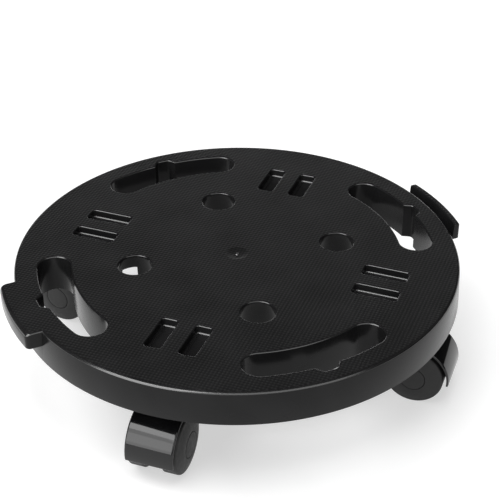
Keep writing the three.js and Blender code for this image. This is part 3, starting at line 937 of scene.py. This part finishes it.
def zinc_steel():
    """Zinc-plated steel with fine turning marks round the stem."""
    n = Nodes("zinc_steel")
    marks = n.noise(1.2, detail=2, stretch=(0.25, 0.25, 6))
    n.link(n.bump(marks, 0.01), n.shader.inputs["Normal"])
    n.link(n.spread(marks, 0.24, 0.4), n.shader.inputs["Roughness"])
    dark, light = (0.46, 0.46, 0.44), (0.6, 0.6, 0.58)
    n.link(n.colours(n.noise(4), dark, light), n.shader.inputs["Base Color"])
    n.shader.inputs["Metallic"].default_value = 1
    return n.material


# ---- Putting the pieces on their bodies -------------------------------------------------------------

MATERIALS = {
    "deck_plastic": deck_plastic(),
    "hood_plastic": hood_plastic(),
    "wheel_plastic": wheel_plastic("wheel_plastic", 0.009),
    "cap_plastic": wheel_plastic("cap_plastic", 0.0095),
    "zinc_steel": zinc_steel(),
}


def show(ob, node, body, slot):
    """Puts a detailed piece in the place of its CAD node."""
    ob.name = node + "_detail"
    ob.data.materials.clear()
    ob.data.materials.append(MATERIALS[slot])
    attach(ob, body)
    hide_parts(node)


show(make_deck(), "deck", "deck", "deck_plastic")

PARTS = [  # node suffix, body suffix (None is the deck), slot, the piece
    ("grip_ring", None, "zinc_steel", make_grip_ring()),
    ("stem", "caster", "zinc_steel", make_stem()),
    ("housing", "caster", "hood_plastic", make_housing()),
    ("axle", "caster", "zinc_steel", make_axle()),
    ("left_wheel", "left_wheel", "wheel_plastic", make_wheel(1)),
    ("right_wheel", "right_wheel", "wheel_plastic", make_wheel(-1)),
    ("left_hub_cap", "left_wheel", "cap_plastic", make_hub_cap(1)),
    ("right_hub_cap", "right_wheel", "cap_plastic", make_hub_cap(-1)),
]
JOINTS = {joint["name"]: joint for joint in frame["joints"]}
for caster in ("front_right", "back_right", "back_left", "front_left"):
    pivot = JOINTS[caster + "_swivel"]["pos_m"]
    axle = JOINTS[caster + "_left_wheel_spin"]["axis"]
    outward = math.atan2(axle[1], axle[0]) - math.pi / 2
    place = Matrix.Translation((pivot[0], pivot[1], 0)) @ Matrix.Rotation(outward, 4, "Z")
    for suffix, body, slot, pattern in PARTS:
        node = f"{caster}_{suffix}"
        ob = new_object(node, pattern.data)
        ob.matrix_world = place
        show(ob, node, f"{caster}_{body}" if body else "deck", slot)
for *_, pattern in PARTS:
    bpy.data.objects.remove(pattern)

# ---- Camera, floor and lights ------------------------------------------------------------------------


def camera():
    """The photograph's viewpoint, aimed at the middle of the deck's top."""
    azimuth, elevation, roll = math.radians(-24.17), math.radians(33.08), math.radians(-0.23)
    distance, aim_right, aim_up = 921, 8.74, 2.11  # millimetres
    back = Vector((
        math.sin(azimuth) * math.cos(elevation),
        -math.cos(azimuth) * math.cos(elevation),
        math.sin(elevation),
    ))
    right = Vector((math.cos(azimuth), math.sin(azimuth), 0))
    up = back.cross(right)
    x = right * math.cos(roll) + up * math.sin(roll)
    y = up * math.cos(roll) - right * math.sin(roll)
    data = bpy.data.cameras.new("camera")
    data.lens = 97.8
    data.sensor_width = 36
    data.clip_end = 50
    ob = bpy.data.objects.new("camera", data)
    scene.collection.objects.link(ob)
    at = Vector((0, 0, DECK_TOP)) + back * distance + x * aim_right + y * aim_up
    ob.matrix_world = Matrix.Translation(at * MM) @ Matrix((x, y, back)).transposed().to_4x4()
    scene.camera = ob


def floor():
    """A plain pale floor."""
    half = 6.0
    mesh = bpy.data.meshes.new("floor")
    corners = [(-half, -half, 0), (half, -half, 0), (half, half, 0), (-half, half, 0)]
    mesh.from_pydata(corners, [], [(0, 1, 2, 3)])
    ob = new_object("floor", mesh)
    n = Nodes("pale_floor")
    n.shader.inputs["Base Color"].default_value = (0.52, 0.52, 0.52, 1)
    n.shader.inputs["Emission Color"].default_value = (1, 1, 1, 1)
    n.shader.inputs["Emission Strength"].default_value = 0.6
    n.shader.inputs["Roughness"].default_value = 0.9
    n.shader.inputs["Specular IOR Level"].default_value = 0.1
    mesh.materials.append(n.material)
    return ob


AIM = Vector((0, 0, 0.05))  # what the lights face, in metres


def softbox(name, azimuth, elevation, distance, width, height, radiance):
    """An area light at an angle round the object, facing it. Azimuth 0 is -Y, 90 is +X."""
    a, e = math.radians(azimuth), math.radians(elevation)
    toward = Vector((math.sin(a) * math.cos(e), -math.cos(a) * math.cos(e), math.sin(e)))
    data = bpy.data.lights.new(name, "AREA")
    data.shape = "RECTANGLE"
    data.size, data.size_y = width, height
    data.energy = radiance * width * height * math.pi
    ob = bpy.data.objects.new(name, data)
    ob.location = toward * distance + AIM
    ob.rotation_mode = "QUATERNION"
    ob.rotation_quaternion = toward.to_track_quat("Z", "Y")
    ob.visible_camera = False
    scene.collection.objects.link(ob)
    return ob


def studio():
    """A white backdrop, behind dark walls and a dark ceiling that the camera doesn't see."""
    radius, ceiling, wall, base = 4500, 2900, 100, -10
    world = bpy.data.worlds.new("studio")
    world.use_nodes = True
    world.node_tree.nodes["Background"].inputs["Color"].default_value = (1, 1, 1, 1)
    scene.world = world
    walls = lathe("dark_walls", [
        (radius, base), (radius + wall, base), (radius + wall, ceiling + wall),
        (0, ceiling + wall), (0, ceiling), (radius, ceiling),
    ], 48)
    walls.visible_camera = False
    n = Nodes("dark_wall")
    n.shader.inputs["Base Color"].default_value = (0.03, 0.03, 0.03, 1)
    n.shader.inputs["Roughness"].default_value = 1
    walls.data.materials.append(n.material)


def lights(ground):
    """Soft boxes: a tall one at the left in bands, a broad one in front, one above, one low behind.

    The side and front lights don't light the floor, which would burn out at the left.
    The top light gives shade and shadow only, and isn't mirrored.
    """
    off_floor = bpy.data.collections.new("kept_off_the_floor")
    off_floor.objects.link(ground)
    off_floor.collection_objects[0].light_linking.link_state = "EXCLUDE"
    distance, width = 3.4, 2.55
    bands = ((0, 8, 3.9), (8, 32, 4.8), (32, 42, 3.6), (42, 58, 6.6), (58, 68, 1.8))
    for low, high, radiance in bands:  # elevations in degrees
        tall = 2 * distance * math.tan(math.radians((high - low) / 2))
        middle = (low + high) / 2
        band = softbox(f"side_light_{low}", -70, middle, distance, width, tall, radiance)
        band.light_linking.receiver_collection = off_floor
    front = softbox("front_light", -8, 36, distance, 5.2, 3.6, 1.6)
    front.light_linking.receiver_collection = off_floor
    top = softbox("top_light", -95, 73, 2.4, 2.5, 2.5, 4.8)
    top.visible_glossy = False
    softbox("back_light", 156, 5, 3.0, 2.6, 0.52, 2.6)


scene.view_settings.view_transform = "Standard"
camera()
ground = floor()
studio()
lights(ground)
